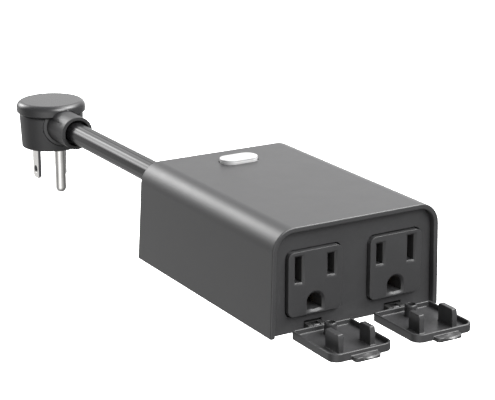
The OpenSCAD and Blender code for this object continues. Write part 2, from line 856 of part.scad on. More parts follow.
// Body of the plug with the boss that the lead goes into
module plug_body() {
    recess_r = 5.8;
    recess_l = 5;
    color([0.22, 0.22, 0.22]) difference() {
        union() {
            rotate_extrude($fn = 96) polygon([[0, 0], [plug_face_r, 0], [plug_r, plug_h - body_bevel],
                [seam_r, plug_h - fit / 2], [0, plug_h - fit / 2]]);
            intersection() {
                along_cord(-9, -boss_reach, boss_r);
                translate([-20, -50, 0]) cube([40, 60, plug_h + cap_h]);
            }
        }
        difference() {
            translate([0, 0, carrier_z - fit]) cylinder(r = cavity_r, h = plug_h + cap_h);
            along_cord(-cavity_r + 1.4, -20, boss_r - 1);
        }
        // Seat of the cap's collar
        difference() {
            along_cord(-9, -20, collar_r + fit);
            cylinder(r = plug_r - lip_t - fit, h = 40);
            along_cord(-8, -40, boss_r);
        }
        prong_cuts(fit / 2, pin_r + fit / 2);
        along_cord(-5, -40, cord_hole_r);
        along_cord(-boss_reach + recess_l, -40, recess_r);
    }
}

// Holes for the three prongs; the earth pin's hole has its own radius
module prong_cuts(gap, pin_hole_r) {
    for (s = [-1, 1]) translate([s * blade_x - blade_t / 2 - gap, blade_y - blade_w / 2 - gap, -past])
        cube([blade_t + 2 * gap, blade_w + 2 * gap, 20]);
    translate([0, blade_y - earth_drop, -past]) cylinder(r = pin_hole_r, h = 20);
}

// Cap with a round top edge, a lip over the body and a collar that dips round the boss
module plug_cap() {
    top = plug_h + cap_h;
    rim_low = plug_h + undercut_h;
    color([0.3, 0.3, 0.3]) difference() {
        union() {
            rotate_extrude($fn = 96) difference() {
                union() {
                    polygon([[0, plug_h], [seam_r, plug_h], [cap_r, rim_low], [cap_r, top - cap_edge],
                        [cap_r - cap_edge, top - cap_edge], [cap_r - cap_edge, top], [0, top]]);
                    intersection() {
                        translate([cap_r - cap_edge, top - cap_edge]) circle(cap_edge);
                        square([40, 40]);
                    }
                }
                translate([-20, plug_h - past]) square([20 + cavity_r, cap_h - 1.8 + past]);
            }
            intersection() {
                along_cord(-9, -20, collar_r);
                difference() {
                    cylinder(r = seam_r, h = plug_h + eps);
                    translate([0, 0, -past]) cylinder(r = plug_r - lip_t, h = 40);
                }
            }
        }
        along_cord(-8, -40, boss_r + fit / 2);
        translate([-40, -40, -40]) cube([80, 80, 40 + 2]);
    }
}

// Insulating bridge that holds the prongs apart
module prong_carrier() {
    color([0.85, 0.85, 0.8]) difference() {
        translate([0, 0, carrier_z]) cylinder(r = cavity_r - fit, h = carrier_h);
        prong_cuts(0.03, pin_tail_r + 0.03);
        along_cord(-cavity_r + 1.5, -20, boss_r);
    }
}

// Flat prong with a hole near its chamfered tip
module blade(side) {
    top = carrier_z + carrier_h + 1.6;
    tip = 1.2;
    translate([side * blade_x, blade_y, 0]) color([0.82, 0.82, 0.84]) difference() {
        translate([-blade_t / 2, 0, 0]) rotate([90, 0, 90]) linear_extrude(blade_t)
            polygon([[-blade_w / 2, top], [-blade_w / 2, tip - blade_l], [tip - blade_w / 2, -blade_l],
                [blade_w / 2 - tip, -blade_l], [blade_w / 2, tip - blade_l], [blade_w / 2, top]]);
        translate([-blade_t, 0, 3.2 + 1.9 / 2 - blade_l]) rotate([0, 90, 0]) cylinder(r = 1.6, h = 2 * blade_t);
    }
}

module live_blade() { blade(1); }

module neutral_blade() { blade(-1); }

module earth_pin() {
    shaft_l = pin_l - pin_r + pin_tail_low;
    tail_l = carrier_z + carrier_h - 0.8 - pin_tail_low;
    translate([0, blade_y - earth_drop, pin_r - pin_l]) color([0.85, 0.85, 0.86]) {
        cylinder(r = pin_r, h = shaft_l);
        sphere(pin_r);
        translate([0, 0, shaft_l]) cylinder(r = pin_tail_r, h = tail_l);
    }
}

outer_shell();
base_plate();
front_panel();
panel_seal();
base_seal();
base_screws();
receptacle_left();
receptacle_right();
live_contact_left();
live_contact_right();
neutral_bus();
earth_bus();
hinge_bracket_left();
hinge_bracket_right();
hinge_pin_left();
hinge_pin_right();
cover_left();
cover_right();
button();
button_boot();
light_ring();
tact_switch();
status_led();
radio_module();
control_board();
board_header();
power_board();
board_screws();
relay_left();
relay_right();
transformer();
storage_capacitor();
line_capacitor();
varistor();
fuse();
live_lead();
neutral_lead();
earth_lead();
strain_relief();
cord();
plug_body();
plug_cap();
prong_carrier();
live_blade();
neutral_blade();
earth_pin();
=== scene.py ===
"""Looks for an outdoor plug-in switch box, built round its fixed CAD frame.

Each group of pieces is an operator of its own, and main() runs them in order.
"""

import json
import math

import bmesh
import bpy
from mathutils import Euler, Matrix, Vector

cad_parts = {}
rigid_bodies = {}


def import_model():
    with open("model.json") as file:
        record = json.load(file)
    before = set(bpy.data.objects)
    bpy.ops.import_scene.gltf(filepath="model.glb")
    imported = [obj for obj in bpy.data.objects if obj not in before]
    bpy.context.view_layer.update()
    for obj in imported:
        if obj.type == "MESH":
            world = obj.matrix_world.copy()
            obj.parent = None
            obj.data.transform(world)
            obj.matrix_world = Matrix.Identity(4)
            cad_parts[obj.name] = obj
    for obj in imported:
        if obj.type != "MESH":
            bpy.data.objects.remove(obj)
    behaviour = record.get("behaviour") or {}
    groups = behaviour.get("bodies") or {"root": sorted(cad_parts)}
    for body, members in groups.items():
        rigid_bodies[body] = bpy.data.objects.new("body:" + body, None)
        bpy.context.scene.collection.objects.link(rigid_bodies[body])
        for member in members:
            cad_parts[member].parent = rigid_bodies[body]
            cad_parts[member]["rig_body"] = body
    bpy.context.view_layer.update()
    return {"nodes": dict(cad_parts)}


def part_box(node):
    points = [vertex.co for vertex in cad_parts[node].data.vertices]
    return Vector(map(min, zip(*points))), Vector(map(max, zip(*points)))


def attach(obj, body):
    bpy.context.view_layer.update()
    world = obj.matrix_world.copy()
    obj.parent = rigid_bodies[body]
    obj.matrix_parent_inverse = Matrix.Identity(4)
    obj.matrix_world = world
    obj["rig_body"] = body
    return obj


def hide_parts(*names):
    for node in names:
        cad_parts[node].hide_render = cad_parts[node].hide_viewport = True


bl_info = {
    "name": "Outdoor Plug Box",
    "version": (1, 0, 0),
    "blender": (4, 5, 0),
    "location": "3D View > Sidebar > Plug Box",
    "description": "Builds the moulded pieces, lead and finishes of an outdoor plug-in switch box",
    "category": "Object",
}

MM = 0.001
WELD = 1e-6
FLAT_ANGLE = math.radians(0.5)
SHARP_ANGLE = math.radians(32)
SMOOTH_ANGLE = math.radians(40)
NORMAL_WEIGHT = 50

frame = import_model()
NODES = frame["nodes"]

# The lead: straight along -Y at one height as in the CAD part, with shallow lengthwise flutes
ROUTE_Y = (-12, *range(-20, -170, -10), -166)
ROUTE_Z = 11.4
ROUTE = [(0.0, y * MM, ROUTE_Z * MM) for y in ROUTE_Y]
LEAD_SIDES = 168
LEAD_FLUTES = 14.0
FLUTE_DEPTH = 0.045 * MM

# The shell: which of its edges each rounding takes, as distances from its box
NEAR_FACE = 0.4 * MM
WALL_REACH = 3 * MM
BOSS_HALF = 11 * MM
BUTTON_HALF = 12 * MM
BUTTON_TO_REAR = 8 * MM
BUTTON_TO_FRONT = 20 * MM
UNDERSIDE_EDGE = 0.35 * MM
HOLE_EDGE = 0.3 * MM

# The outlet blocks: what counts as level, and how deep the front face's outline goes
LEVEL = 0.01 * MM
FACE_REACH = 0.05 * MM

# The dark sill that closes the notch below each hinge bracket: a near-black block put in the notch
# as painted shade
SHADE_SILL_SIZE = (6.8 * MM, 1.8 * MM, 1.8 * MM)
SHADE_SILL_Y = -245.1 * MM
SHADE_SILL_Z = -2.8 * MM

# The thumb scoop across each cover's finger tab, cut with a ball
TAB_THICK = 1.5 * MM
SCOOP_RADIUS = 8.0 * MM
SCOOP_DEPTH = 0.8 * MM
SCOOP_SHIFT = 1.0 * MM
SCOOP_SKIN = 0.02 * MM
SCOOP_FACING = 0.5
SCOOP_FINENESS = 6

# The button: a flange under the shell, a groove between two layers and a slightly crowned top
FLANGE = 1.2 * MM
FLANGE_HIGH = 1.2 * MM
FLANGE_BREAK = 0.1 * MM
FLANGE_STEP = 0.06 * MM
SEAM_SHARE = 0.48
SEAM_HALF = 0.07 * MM
CROWN = 0.12 * MM
CROWN_ROWS = ((0.8 * MM, 0.35), (1.9 * MM, 0.0))
BUTTON_EDGE_STEPS = 6
BUTTON_END_STEPS = 24

# The strain relief's ribs: where they start and end, and the sleeve's radius there
RIB_START = 4.2 * MM
RIB_END = 1.4 * MM
SLEEVE_START = 7.0 * MM
SLEEVE_END = 5.9 * MM

# The plug: its edges are rounded outside this radius and on the boss past this line
PLUG_CORE = 12.6 * MM
BOSS_LINE = -14 * MM
# Blade faces that point along Y more than this get the dark sheared-edge finish, whose darkness is
# partly painted shade
SHEARED_SHADE_FACING = 0.8

# The base screws: head rows are (share of the radius, height in mm), thread rows are
# (share of the shank, share of a pitch)
HEAD_ROWS = ((0.55, 0.0), (0.82, 0.08), (0.95, 0.28), (1.0, 0.5))
THREAD_ROWS = ((0.78, 0.0), (0.78, 0.3), (1.0, 0.5), (1.0, 0.6))
HEAD_HIGH = 1.1 * MM
SHANK = 1.38 * MM
PITCH = 0.9 * MM
THREAD_LEAD_IN = 0.3
PLAIN_END = 1.2 * MM
TIP_SHARE = 0.4
SCREW_SIDES = 32
SCREW_TURN = 0.7
RECESS_SIZE = (3.2 * MM, 0.62 * MM, 1.3 * MM)

# Where noise and surface bend are read: nearly all of a noise lies between the first two
NOISE_MIDDLE = (0.3, 0.7)
PATCH_MIDDLE = (0.35, 0.65)
WORN_BEND = (0.515, 0.60)

PLASTIC_IOR = 1.5
CLEAR_IOR = 1.49
WHITE = (1.0, 1.0, 1.0, 1.0)
FLOOR_SIZE = 8.0
FLOOR_Z = -0.07
FLOOR_TONES = ((0.86, 0.86, 0.86, 1.0), (0.9, 0.9, 0.9, 1.0))
FLOOR_NOISE_SCALE = 6.0

# Soft lights round the object: azimuth from +Y towards +X and elevation in degrees,
# then sharpness and strength
AMBIENT = 0.15
LOBES = (
    (341, 26, 24.0, 6.0),
    (346, 29, 60.0, 5.0),
    (165, 43, 25.0, 14.0),
    (112, 52, 25.0, 16.0),
    (65, 52, 30.0, 5.0),
    (20, 33, 12.0, 0.5),
    (40, 3, 12.0, 0.9),
    (60, 33, 12.0, 0.5),
    (160, 3, 12.0, 0.4),
    (350, -40, 3.0, 0.4),
    (329, -17, 10.0, 0.4),
    (220, -12, 6.0, 1.5),
)

# The camera looks down and to the right of +Y; its lens and sensor are in millimetres
CAMERA_PLACE = (-0.29117, -0.66924, 0.19601)
CAMERA_TURN = (math.radians(90 - 17.116), 0.0, math.radians(-30.588))
CAMERA_LENS = 118.36
CAMERA_SENSOR = 36.0
CAMERA_NEAR = 0.01


# ---- Settings ----


def colour_setting(name, description, default):
    return bpy.props.FloatVectorProperty(
        name=name, description=description, default=default, size=3, min=0.0, max=1.0,
        subtype="COLOR"
    )


def length_setting(name, description, millimetres):
    return bpy.props.FloatProperty(
        name=name, description=description, default=millimetres * MM, min=0.0, subtype="DISTANCE",
        unit="LENGTH"
    )


class PlugBoxFinish(bpy.types.PropertyGroup):
    """Colours of the finishes."""

    housing: colour_setting(
        "Housing", "Colour of the housing's satin plastic", (0.036, 0.036, 0.037)
    )
    panel: colour_setting("Panel", "Colour of the front panel and outlets", (0.030, 0.030, 0.031))
    cover: colour_setting("Covers", "Colour of the flip covers", (0.034, 0.034, 0.035))
    plug: colour_setting("Plug", "Colour of the plug's body and cap", (0.030, 0.030, 0.031))
    lead: colour_setting("Lead", "Colour of the lead's jacket", (0.012, 0.012, 0.013))
    button: colour_setting("Button", "Colour of the push button", (0.46, 0.46, 0.46))
    rubber: colour_setting(
        "Rubber", "Colour of the seals and the strain relief", (0.022, 0.022, 0.023)
    )
    prong: colour_setting("Prongs", "Colour of the nickel-plated prongs", (0.78, 0.77, 0.75))


class PlugBoxEdges(bpy.types.PropertyGroup):
    """How far the moulded edges are rounded."""

    rim: length_setting("Front rim", "Rounding of the housing's front rim", 0.5)
    shell: length_setting("Shell edges", "Rounding of the housing's other edges", 0.6)
    outlet: length_setting("Outlets", "Rounding of the outlet faces' edges", 0.22)
    panel: length_setting("Panel", "Rounding of the front panel's edges", 0.12)
    cover: length_setting("Covers", "Rounding of the covers' edges", 0.3)
    plug: length_setting("Plug", "Rounding of the plug's edges", 0.25)
    base: length_setting("Base", "Rounding of the base plate's edges", 0.3)
    prong: length_setting("Prongs", "Rounding of the blades' edges", 0.18)
    hinge: length_setting(
        "Hinges", "Rounding of the hinge parts', prong carrier's and earth pin's edges", 0.1
    )
    button: length_setting("Button", "Rounding of the button's top edge", 0.3)
    groove: length_setting("Button groove", "Depth of the groove round the button", 0.12)


class PlugBoxRelief(bpy.types.PropertyGroup):
    """Sizes of the strain relief's ribs and the base screws' heads."""

    ribs: bpy.props.IntProperty(
        name="Ribs", description="Number of ribs on the strain relief", default=9, min=2, max=20
    )
    rib_size: length_setting("Rib size", "Half the thickness of a rib", 0.55)
    screw_head: length_setting("Screw head", "Radius of the base screws' heads", 2.8)


def settings():
    return bpy.context.scene


# ---- Meshes ----


def welded(node):
    """The CAD node's shape as one closed mesh with whole flat faces."""
    bm = bmesh.new()
    bm.from_mesh(NODES[node].data)
    bmesh.ops.remove_doubles(bm, verts=bm.verts, dist=WELD)
    bmesh.ops.dissolve_limit(bm, angle_limit=FLAT_ANGLE, verts=bm.verts, edges=bm.edges)
    return bm


def round_edges(bm, width, where, steps):
    """Rounds the sharp edges, or only those whose middle and edge pass a test."""
    chosen = [
        e
        for e in bm.edges
        if e.is_manifold
        and e.calc_face_angle(0.0) > SHARP_ANGLE
        and (where is None or where((e.verts[0].co + e.verts[1].co) / 2, e))
    ]
    if chosen:
        bmesh.ops.bevel(
            bm, geom=chosen, offset=width, offset_type="OFFSET", segments=steps,
            profile=0.5, affect="EDGES", clamp_overlap=False, material=-1,
        )


def linked(name, mesh):
    made = bpy.data.objects.new(name, mesh)
    bpy.context.scene.collection.objects.link(made)
    return made


def mesh_object(name, bm):
    mesh = bpy.data.meshes.new(name)
    bm.to_mesh(mesh)
    bm.free()
    return linked(name, mesh)


def settle(made):
    """Turns what the modifiers make of an object into its plain mesh."""
    graph = bpy.context.evaluated_depsgraph_get()
    mesh = bpy.data.meshes.new_from_object(
        made.evaluated_get(graph), preserve_all_data_layers=True, depsgraph=graph
    )
    made.modifiers.clear()
    made.data = mesh
    mesh.name = made.name
    return made


def cut(made, cutter):
    """Takes a second object's shape out of a first one."""
    step = made.modifiers.new("cut", "BOOLEAN")
    step.operation = "DIFFERENCE"
    step.solver = "EXACT"
    step.object = cutter
    settle(made)
    bpy.data.objects.remove(cutter)
    return made


def smooth(made):
    """Smooth shading that stays flat on flat faces and crisp over sharp edges."""
    mesh = made.data
    mesh.polygons.foreach_set("use_smooth", [True] * len(mesh.polygons))
    mesh.set_sharp_from_angle(angle=SMOOTH_ANGLE)
    step = made.modifiers.new("weights", "WEIGHTED_NORMAL")
    step.keep_sharp = True
    step.weight = NORMAL_WEIGHT
    return settle(made)


def ring_of(points, height):
    return [(x, y, height) for x, y in points]


def lofted(rings):
    """Closed solid through rings that run anticlockwise seen from the last one's side."""
    bm = bmesh.new()
    rows = [[bm.verts.new(p) for p in ring] for ring in rings]
    count = len(rows[0])
    for low, high in zip(rows, rows[1:]):
        for i in range(count):
            j = (i + 1) % count
            bm.faces.new((low[i], low[j], high[j], high[i]))
    bm.faces.new(list(reversed(rows[0])))
    bm.faces.new(rows[-1])
    bmesh.ops.recalc_face_normals(bm, faces=bm.faces)
    return bm


def circle_points(radius, count):
    turn = 2 * math.pi / count
    return [(radius * math.cos(turn * i), radius * math.sin(turn * i)) for i in range(count)]


def stadium_points(long, wide, count):
    """Stadium outline with its long axis along X."""
    radius = wide / 2
    shift = long / 2 - radius
    turn = math.pi / count
    angles = [turn * i - math.pi / 2 for i in range(count + 1)]
    right = [(shift + radius * math.cos(a), radius * math.sin(a)) for a in angles]
    left = [(-x, -y) for x, y in right]
    return right + left


def corner_arc(reach, steps):
    """(inset, drop) pairs of a quarter round, from the side to the top."""
    turn = math.pi / 2 / steps
    angles = [turn * i for i in range(steps + 1)]
    return [(reach * (1 - math.cos(a)), reach * (1 - math.sin(a))) for a in angles]


# ---- Materials ----


def put(tree, kind, links=None, **kept):
    """Adds a node; links gives its inputs as numbers, colours or other nodes' sockets."""
    made = tree.nodes.new(kind)
    for key, value in kept.items():
        setattr(made, key, value)
    for key, value in (links or {}).items():
        if isinstance(value, bpy.types.NodeSocket):
            tree.links.new(value, made.inputs[key])
        else:
            made.inputs[key].default_value = value
    return made


def maths(tree, operation, first, second=0.0):
    return put(tree, "ShaderNodeMath", {0: first, 1: second}, operation=operation).outputs[0]


def mixed(tree, share, first, second):
    """Mix of two colours."""
    return put(tree, "ShaderNodeMix", {0: share, 6: first, 7: second}, data_type="RGBA").outputs[2]


def spread(tree, value, low, high, to_low, to_high):
    return put(
        tree, "ShaderNodeMapRange",
        {"Value": value, "From Min": low, "From Max": high, "To Min": to_low, "To Max": to_high},
    ).outputs["Result"]


def toned(tree, value, to_low, to_high):
    """Spreads the middle of a noise over a range."""
    return spread(tree, value, *NOISE_MIDDLE, to_low, to_high)


def noise(tree, place, scale, detail=2.0, roughness=0.5):
    return put(
        tree, "ShaderNodeTexNoise",
        {"Vector": place, "Scale": scale, "Detail": detail, "Roughness": roughness},
    ).outputs[0]


def new_group(name, inputs, outputs):
    """Empty shader node group with named inputs and outputs."""
    tree = bpy.data.node_groups.new(name, "ShaderNodeTree")
    for label, kind, value in inputs:
        socket = tree.interface.new_socket(label, in_out="INPUT", socket_type=kind)
        if value is not None:
            socket.default_value = value
    for label in outputs:
        tree.interface.new_socket(label, in_out="OUTPUT", socket_type="NodeSocketFloat")
    return tree, tree.nodes.new("NodeGroupInput").outputs, tree.nodes.new("NodeGroupOutput").inputs


def grain_group():
    """Spark-eroded mould texture and the slow mottling of moulded plastic."""
    name = "mould grain"
    if name in bpy.data.node_groups:
        return bpy.data.node_groups[name]
    tree, given, out = new_group(
        name,
        [
            ("Vector", "NodeSocketVector", None), ("Grain Scale", "NodeSocketFloat", 3000.0),
            ("Mottle Scale", "NodeSocketFloat", 70.0),
        ],
        ["Height", "Mottle"],
    )
    fine = noise(tree, given["Vector"], given["Grain Scale"], 3.0, 0.65)
    cells = put(
        tree, "ShaderNodeTexVoronoi", {"Vector": given["Vector"], "Scale": given["Grain Scale"]},
        feature="SMOOTH_F1"
    ).outputs["Distance"]
    tree.links.new(maths(tree, "ADD", fine, maths(tree, "MULTIPLY", cells, 0.45)), out["Height"])
    tree.links.new(noise(tree, given["Vector"], given["Mottle Scale"], 4.0, 0.6), out["Mottle"])
    return tree


def edge_group():
    """Mask of the edges that handling has polished."""
    name = "edge wear"
    if name in bpy.data.node_groups:
        return bpy.data.node_groups[name]
    tree, given, out = new_group(
        name,
        [
            ("Vector", "NodeSocketVector", None), ("Amount", "NodeSocketFloat", 0.5),
            ("Breakup Scale", "NodeSocketFloat", 400.0),
        ],
        ["Mask"],
    )
    bend = put(tree, "ShaderNodeNewGeometry").outputs["Pointiness"]
    edge = spread(tree, bend, *WORN_BEND, 0.0, 1.0)
    patches = noise(tree, given["Vector"], given["Breakup Scale"], 3.0, 0.6)
    broken = spread(tree, patches, *PATCH_MIDDLE, 0.25, 1.0)
    worn = maths(tree, "MULTIPLY", maths(tree, "MULTIPLY", edge, broken), given["Amount"])
    tree.links.new(worn, out["Mask"])
    return tree


def streak_group():
    """Fine lines of drawing, brushing or extrusion along one axis."""
    name = "drawn lines"
    if name in bpy.data.node_groups:
        return bpy.data.node_groups[name]
    tree, given, out = new_group(
        name,
        [
            ("Vector", "NodeSocketVector", None),
            ("Across", "NodeSocketVector", (3000.0, 3000.0, 60.0)),
            ("Patch Scale", "NodeSocketFloat", 200.0),
        ],
        ["Height", "Patches"],
    )
    stretched = put(
        tree, "ShaderNodeVectorMath", {0: given["Vector"], 1: given["Across"]}, operation="MULTIPLY"
    ).outputs[0]
    tree.links.new(noise(tree, stretched, 1.0, 3.0, 0.6), out["Height"])
    tree.links.new(noise(tree, given["Vector"], given["Patch Scale"], 2.0, 0.5), out["Patches"])
    return tree


def new_material(name):
    made = bpy.data.materials.new(name)
    made.use_nodes = True
    tree = made.node_tree
    place = put(tree, "ShaderNodeTexCoord").outputs["Object"]
    return made, tree, tree.nodes["Principled BSDF"], place


def group_node(tree, group, links):
    return put(tree, "ShaderNodeGroup", links, node_tree=group).outputs


def rgba(colour, factor=1.0):
    return (*(min(1.0, c * factor) for c in colour), 1.0)


def bump(tree, shader, height, distance):
    relief = put(
        tree, "ShaderNodeBump", {"Height": height, "Strength": 1.0, "Distance": distance}
    )
    tree.links.new(relief.outputs["Normal"], shader.inputs["Normal"])


def plastic(name, colour, roughness, grain=2600.0, depth=0.012, wear=0.35, mottle=0.06):
    """Moulded plastic with a fine texture, slight mottling and polished edges."""
    made, tree, shader, place = new_material(name)
    texture = group_node(tree, grain_group(), {"Vector": place, "Grain Scale": grain})
    edge = group_node(tree, edge_group(), {"Vector": place, "Amount": wear})["Mask"]
    tone = toned(tree, texture["Mottle"], 0.0, 1.0)
    body = mixed(tree, tone, rgba(colour, 1 - mottle), rgba(colour, 1 + mottle))
    tree.links.new(mixed(tree, edge, body, rgba(colour, 1.8)), shader.inputs["Base Color"])
    rough = toned(tree, texture["Mottle"], roughness - 0.02, roughness + 0.03)
    tree.links.new(
        maths(tree, "SUBTRACT", rough, maths(tree, "MULTIPLY", edge, 0.08)),
        shader.inputs["Roughness"],
    )
    shader.inputs["IOR"].default_value = PLASTIC_IOR
    bump(tree, shader, texture["Height"], depth * MM)
    return made


def rubber(name, colour, roughness=0.62):
    """Soft rubber with a dull fine grain."""
    made, tree, shader, place = new_material(name)
    texture = group_node(
        tree, grain_group(), {"Vector": place, "Grain Scale": 1800.0, "Mottle Scale": 120.0}
    )
    tone = toned(tree, texture["Mottle"], 0.0, 1.0)
    tree.links.new(
        mixed(tree, tone, rgba(colour, 0.85), rgba(colour, 1.2)), shader.inputs["Base Color"]
    )
    tree.links.new(
        toned(tree, texture["Mottle"], roughness - 0.05, roughness + 0.06),
        shader.inputs["Roughness"],
    )
    bump(tree, shader, texture["Height"], 0.02 * MM)
    return made


def metal(name, colour, roughness, across=(3000.0, 3000.0, 60.0), depth=0.0025, tarnish=0.08):
    """Plated or rolled metal with drawn lines and faint patches."""
    made, tree, shader, place = new_material(name)
    lines = group_node(tree, streak_group(), {"Vector": place, "Across": across})
    edge = group_node(tree, edge_group(), {"Vector": place, "Amount": 0.4})["Mask"]
    patch = spread(tree, lines["Patches"], *PATCH_MIDDLE, 0.0, 1.0)
    body = mixed(tree, patch, rgba(colour, 1 - tarnish), rgba(colour))
    tree.links.new(mixed(tree, edge, body, rgba(colour, 1.1)), shader.inputs["Base Color"])
    shader.inputs["Metallic"].default_value = 1.0
    tree.links.new(
        toned(tree, lines["Height"], roughness - 0.04, roughness + 0.05), shader.inputs["Roughness"]
    )
    bump(tree, shader, lines["Height"], depth * MM)
    return made


def jacket(name, colour, roughness):
    """Extruded cable jacket: glossy, with faint lines along its length."""
    made, tree, shader, place = new_material(name)
    lines = group_node(
        tree, streak_group(), {"Vector": place, "Across": (900.0, 12.0, 900.0), "Patch Scale": 90.0}
    )
    texture = group_node(tree, grain_group(), {"Vector": place, "Grain Scale": 2400.0})
    tone = toned(tree, lines["Patches"], 0.0, 1.0)
    tree.links.new(
        mixed(tree, tone, rgba(colour, 0.92), rgba(colour, 1.1)), shader.inputs["Base Color"]
    )
    tree.links.new(
        toned(tree, lines["Height"], roughness - 0.04, roughness + 0.05), shader.inputs["Roughness"]
    )
    height = maths(tree, "ADD", lines["Height"], maths(tree, "MULTIPLY", texture["Height"], 0.2))
    shader.inputs["Specular IOR Level"].default_value = 0.3
    bump(tree, shader, height, 0.03 * MM)
    return made


def board(name, colour):
    """Circuit board: solder mask with a woven core and copper tracks showing through."""
    made, tree, shader, place = new_material(name)
    cells = put(
        tree, "ShaderNodeTexBrick",
        {
            "Vector": place, "Scale": 260.0, "Color1": rgba(colour), "Color2": rgba(colour, 0.8),
            "Mortar": rgba(colour, 1.6), "Mortar Size": 0.04,
        },
        offset=0.37, squash=1.6,
    )
    weave = group_node(tree, grain_group(), {"Vector": place, "Grain Scale": 1500.0})
    share = maths(tree, "MULTIPLY", weave["Mottle"], 0.5)
    body = mixed(tree, share, cells.outputs["Color"], rgba(colour, 0.7))
    tree.links.new(body, shader.inputs["Base Color"])
    tree.links.new(toned(tree, weave["Mottle"], 0.3, 0.42), shader.inputs["Roughness"])
    bump(tree, shader, cells.outputs["Fac"], 0.02 * MM)
    return made


def clear(name, colour, roughness=0.08):
    """Clear plastic or glass."""
    made, tree, shader, place = new_material(name)
    texture = group_node(tree, grain_group(), {"Vector": place, "Grain Scale": 900.0})
    tree.links.new(
        mixed(tree, texture["Mottle"], rgba(colour, 0.94), rgba(colour)),
        shader.inputs["Base Color"],
    )
    tree.links.new(
        toned(tree, texture["Mottle"], roughness, roughness + 0.08), shader.inputs["Roughness"]
    )
    shader.inputs["Transmission Weight"].default_value = 0.85
    shader.inputs["IOR"].default_value = CLEAR_IOR
    bump(tree, shader, texture["Height"], 0.003 * MM)
    return made


FINISHES = {}


def finish_for(slot):
    """The material of a record slot, made when it is first asked for."""
    if slot in FINISHES:
        return FINISHES[slot]
    tone = settings().plug_box_finish
    makers = {
        "housing_plastic": lambda: plastic("housing satin plastic", tone.housing, 0.34),
        "panel_plastic": lambda: plastic("panel satin plastic", tone.panel, 0.46),
        "outlet_plastic": lambda: plastic("outlet satin plastic", tone.panel, 0.44),
        "cover_plastic": lambda: plastic("cover satin plastic", tone.cover, 0.36),
        "seal_rubber": lambda: rubber("black seal rubber", tone.rubber),
        "relief_rubber": lambda: rubber("strain relief rubber", tone.rubber, 0.55),
        "cord_jacket": lambda: jacket("black lead jacket", tone.lead, 0.22),
        "plug_plastic": lambda: plastic("plug moulding", tone.plug, 0.42),
        "cap_plastic": lambda: plastic("plug cap moulding", tone.plug, 0.2, depth=0.003),
        "carrier_plastic": lambda: plastic("cream prong carrier", (0.62, 0.58, 0.48), 0.5),
        "prong_metal": lambda: metal("nickel plated prong", tone.prong, 0.17),
        "scoop_plastic": lambda: plastic("polished scoop", tone.cover, 0.16, depth=0.001, wear=0.0),
        # Dark finish of the blades' sheared edges: rougher cut metal, darkened further as painted
        # shade
        "sheared_and_shaded_metal": lambda: metal("sheared prong edge", (0.16, 0.16, 0.17), 0.42),
        # Near-black hinge finish: painted shade, so the hinge block and its sill read as the dark
        # notch
        "hinge_plastic": lambda: plastic("hinge block plastic", (0.012, 0.012, 0.012), 0.6),
        "hinge_steel": lambda: metal(
            "hinge pin steel", (0.55, 0.55, 0.56), 0.25, (60.0, 3000.0, 3000.0)
        ),
        "screw_steel": lambda: metal(
            "zinc plated screw", (0.6, 0.6, 0.6), 0.3, (900.0, 900.0, 900.0)
        ),
        "contact_brass": lambda: metal("brass contact", (0.72, 0.52, 0.25), 0.26),
        "button_white": lambda: plastic(
            "white button plastic", tone.button, 0.34, depth=0.004, wear=0.0, mottle=0.01
        ),
        "clear_plastic": lambda: clear("light ring plastic", (0.9, 0.93, 0.95)),
        "board_green": lambda: board("green circuit board", (0.02, 0.16, 0.06)),
        "switch_black": lambda: plastic("switch housing plastic", (0.03, 0.03, 0.03), 0.4),
        "led_lens": lambda: clear("status light lens", (0.95, 0.9, 0.6)),
        "shield_tin": lambda: metal("tin shield", (0.66, 0.67, 0.66), 0.32, (200.0, 2000.0, 200.0)),
        "header_black": lambda: plastic("pin header plastic", (0.02, 0.02, 0.02), 0.38),
        "relay_blue": lambda: plastic("relay case plastic", (0.03, 0.11, 0.38), 0.3),
        "bobbin_yellow": lambda: plastic("transformer tape", (0.85, 0.62, 0.05), 0.45, grain=700.0),
        "can_sleeve": lambda: plastic("capacitor sleeve", (0.02, 0.03, 0.12), 0.28),
        "film_yellow": lambda: plastic("film capacitor case", (0.75, 0.6, 0.08), 0.38),
        "disc_blue": lambda: plastic(
            "varistor coating", (0.03, 0.12, 0.42), 0.35, grain=900.0, depth=0.04
        ),
        "fuse_glass": lambda: clear("fuse glass", (0.9, 0.93, 0.92), 0.05),
        "lead_black": lambda: jacket("black wire insulation", (0.02, 0.02, 0.02), 0.4),
        "lead_white": lambda: jacket("white wire insulation", (0.75, 0.75, 0.73), 0.4),
        "lead_green": lambda: jacket("green wire insulation", (0.02, 0.22, 0.06), 0.4),
    }
    FINISHES[slot] = makers[slot]()
    return FINISHES[slot]


def slot_of(node):
    return NODES[node].data.materials[0].name.split(".")[0]


def finished(made, *nodes, look=None):
    """Gives a new piece the finish of its slot or of look, ties it to its CAD node's body and hides
    its CAD nodes.
    """
    slot = slot_of(nodes[0])
    made.data.materials.clear()
    made.data.materials.append(finish_for(look or slot))
    for face in made.data.polygons:
        face.material_index = 0
    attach(made, NODES[nodes[0]]["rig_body"])
    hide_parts(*nodes)
    return made


def rounded_copy(name, node, *passes, look=None, shade_sill=None):
    """Piece with the CAD node's shape and rounded edges; each pass is (width, test, steps).

    look is the finish when it is not the slot's own; the last argument is the size and middle of a
    block to add, a dark filler put in a notch as painted shade.
    """
    bm = welded(node)
    for width, where, steps in passes:
        round_edges(bm, width, where, steps)
    if shade_sill:
        size, middle = shade_sill
        bmesh.ops.create_cube(
            bm, size=1.0, matrix=Matrix.Translation(middle) @ Matrix.Diagonal((*size, 1.0))
        )
    return finished(smooth(mesh_object(name, bm)), node, look=look)


# ---- Geometry Nodes ----


